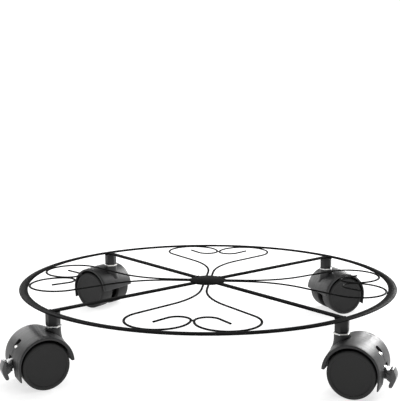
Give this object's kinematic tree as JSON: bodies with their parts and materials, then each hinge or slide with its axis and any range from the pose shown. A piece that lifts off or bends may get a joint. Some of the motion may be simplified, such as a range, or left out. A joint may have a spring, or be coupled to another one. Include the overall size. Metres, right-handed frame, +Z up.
{
  "type": "plant caddy",
  "caption": "Round wire plant stand with scrolled spokes on swivelling hooded twin-wheel casters with brakes.",
  "frame": {"origin": "on the floor under the middle of the ring", "axes": "+Z up, the spokes lie on the diagonals, -Y is the front"},
  "size_m": [0.3556, 0.3556, 0.0609],
  "materials": {
    "coated_steel": "black powder coat, semi-gloss",
    "socket_steel": "black powder coat, satin",
    "zinc_steel": "bright zinc plate",
    "hood_plastic": "moulded, semi-gloss",
    "wheel_plastic": "moulded, matt",
    "lever_plastic": "moulded, satin"
  },
  "bodies": {
    "frame": {"ring": "coated_steel", "hub_disc": "coated_steel", "spoke_front_left": "coated_steel", "spoke_front_right": "coated_steel", "spoke_back_left": "coated_steel", "spoke_back_right": "coated_steel", "scroll_front_left": "coated_steel", "scroll_front_right": "coated_steel", "scroll_right_front": "coated_steel", "scroll_right_back": "coated_steel", "scroll_back_right": "coated_steel", "scroll_back_left": "coated_steel", "scroll_left_back": "coated_steel", "scroll_left_front": "coated_steel", "socket_front_left": "socket_steel", "socket_front_right": "socket_steel", "socket_back_left": "socket_steel", "socket_back_right": "socket_steel", "stem_front_left": "zinc_steel", "stem_front_right": "zinc_steel", "stem_back_left": "zinc_steel", "stem_back_right": "zinc_steel", "snap_ring_front_left": "zinc_steel", "snap_ring_front_right": "zinc_steel", "snap_ring_back_left": "zinc_steel", "snap_ring_back_right": "zinc_steel"},
    "caster_front_left": {"hood_front_left": "hood_plastic", "axle_front_left": "zinc_steel", "lever_pin_front_left": "zinc_steel", "leaf_spring_front_left": "zinc_steel"},
    "left_wheel_front_left": {"left_wheel_front_left": "wheel_plastic"},
    "right_wheel_front_left": {"right_wheel_front_left": "wheel_plastic"},
    "brake_lever_front_left": {"brake_lever_front_left": "lever_plastic", "brake_shoe_front_left": "zinc_steel"},
    "caster_front_right": {"hood_front_right": "hood_plastic", "axle_front_right": "zinc_steel", "lever_pin_front_right": "zinc_steel", "leaf_spring_front_right": "zinc_steel"},
    "left_wheel_front_right": {"left_wheel_front_right": "wheel_plastic"},
    "right_wheel_front_right": {"right_wheel_front_right": "wheel_plastic"},
    "brake_lever_front_right": {"brake_lever_front_right": "lever_plastic", "brake_shoe_front_right": "zinc_steel"},
    "caster_back_left": {"hood_back_left": "hood_plastic", "axle_back_left": "zinc_steel", "lever_pin_back_left": "zinc_steel", "leaf_spring_back_left": "zinc_steel"},
    "left_wheel_back_left": {"left_wheel_back_left": "wheel_plastic"},
    "right_wheel_back_left": {"right_wheel_back_left": "wheel_plastic"},
    "brake_lever_back_left": {"brake_lever_back_left": "lever_plastic", "brake_shoe_back_left": "zinc_steel"},
    "caster_back_right": {"hood_back_right": "hood_plastic", "axle_back_right": "zinc_steel", "lever_pin_back_right": "zinc_steel", "leaf_spring_back_right": "zinc_steel"},
    "left_wheel_back_right": {"left_wheel_back_right": "wheel_plastic"},
    "right_wheel_back_right": {"right_wheel_back_right": "wheel_plastic"},
    "brake_lever_back_right": {"brake_lever_back_right": "lever_plastic", "brake_shoe_back_right": "zinc_steel"}
  },
  "joints": [
    {"name": "swivel_front_left", "type": "hinge", "parent": "frame", "child": "caster_front_left", "pos_m": [-0.1195, -0.1195, 0.0467], "axis": [0, 0, 1], "continuous": true},
    {"name": "left_spin_front_left", "type": "hinge", "parent": "caster_front_left", "child": "left_wheel_front_left", "pos_m": [-0.1304, -0.12658, 0.02], "axis": [0.5446, -0.8387, 0], "continuous": true},
    {"name": "right_spin_front_left", "type": "hinge", "parent": "caster_front_left", "child": "right_wheel_front_left", "pos_m": [-0.1304, -0.12658, 0.02], "axis": [0.5446, -0.8387, 0], "continuous": true},
    {"name": "brake_front_left", "type": "hinge", "parent": "caster_front_left", "child": "brake_lever_front_left", "pos_m": [-0.13627, -0.13039, 0.0325], "axis": [0.5446, -0.8387, 0], "range_deg": [0, 12]},
    {"name": "swivel_front_right", "type": "hinge", "parent": "frame", "child": "caster_front_right", "pos_m": [0.1195, -0.1195, 0.0467], "axis": [0, 0, 1], "continuous": true},
    {"name": "left_spin_front_right", "type": "hinge", "parent": "caster_front_right", "child": "left_wheel_front_right", "pos_m": [0.13187, -0.12352, 0.02], "axis": [0.309, 0.9511, 0], "continuous": true},
    {"name": "right_spin_front_right", "type": "hinge", "parent": "caster_front_right", "child": "right_wheel_front_right", "pos_m": [0.13187, -0.12352, 0.02], "axis": [0.309, 0.9511, 0], "continuous": true},
    {"name": "brake_front_right", "type": "hinge", "parent": "caster_front_right", "child": "brake_lever_front_right", "pos_m": [0.13852, -0.12568, 0.0325], "axis": [0.309, 0.9511, 0], "range_deg": [0, 12]},
    {"name": "swivel_back_left", "type": "hinge", "parent": "frame", "child": "caster_back_left", "pos_m": [-0.1195, 0.1195, 0.0467], "axis": [0, 0, 1], "continuous": true},
    {"name": "left_spin_back_left", "type": "hinge", "parent": "caster_back_left", "child": "left_wheel_back_left", "pos_m": [-0.13076, 0.126, 0.02], "axis": [-0.5, -0.866, 0], "continuous": true},
    {"name": "right_spin_back_left", "type": "hinge", "parent": "caster_back_left", "child": "right_wheel_back_left", "pos_m": [-0.13076, 0.126, 0.02], "axis": [-0.5, -0.866, 0], "continuous": true},
    {"name": "brake_back_left", "type": "hinge", "parent": "caster_back_left", "child": "brake_lever_back_left", "pos_m": [-0.13682, 0.1295, 0.0325], "axis": [-0.5, -0.866, 0], "range_deg": [0, 12]},
    {"name": "swivel_back_right", "type": "hinge", "parent": "frame", "child": "caster_back_right", "pos_m": [0.1195, 0.1195, 0.0467], "axis": [0, 0, 1], "continuous": true},
    {"name": "left_spin_back_right", "type": "hinge", "parent": "caster_back_right", "child": "left_wheel_back_right", "pos_m": [0.13128, 0.12499, 0.02], "axis": [-0.4226, 0.9063, 0], "continuous": true},
    {"name": "right_spin_back_right", "type": "hinge", "parent": "caster_back_right", "child": "right_wheel_back_right", "pos_m": [0.13128, 0.12499, 0.02], "axis": [-0.4226, 0.9063, 0], "continuous": true},
    {"name": "brake_back_right", "type": "hinge", "parent": "caster_back_right", "child": "brake_lever_back_right", "pos_m": [0.13763, 0.12795, 0.0325], "axis": [-0.4226, 0.9063, 0], "range_deg": [0, 12]}
  ]
}
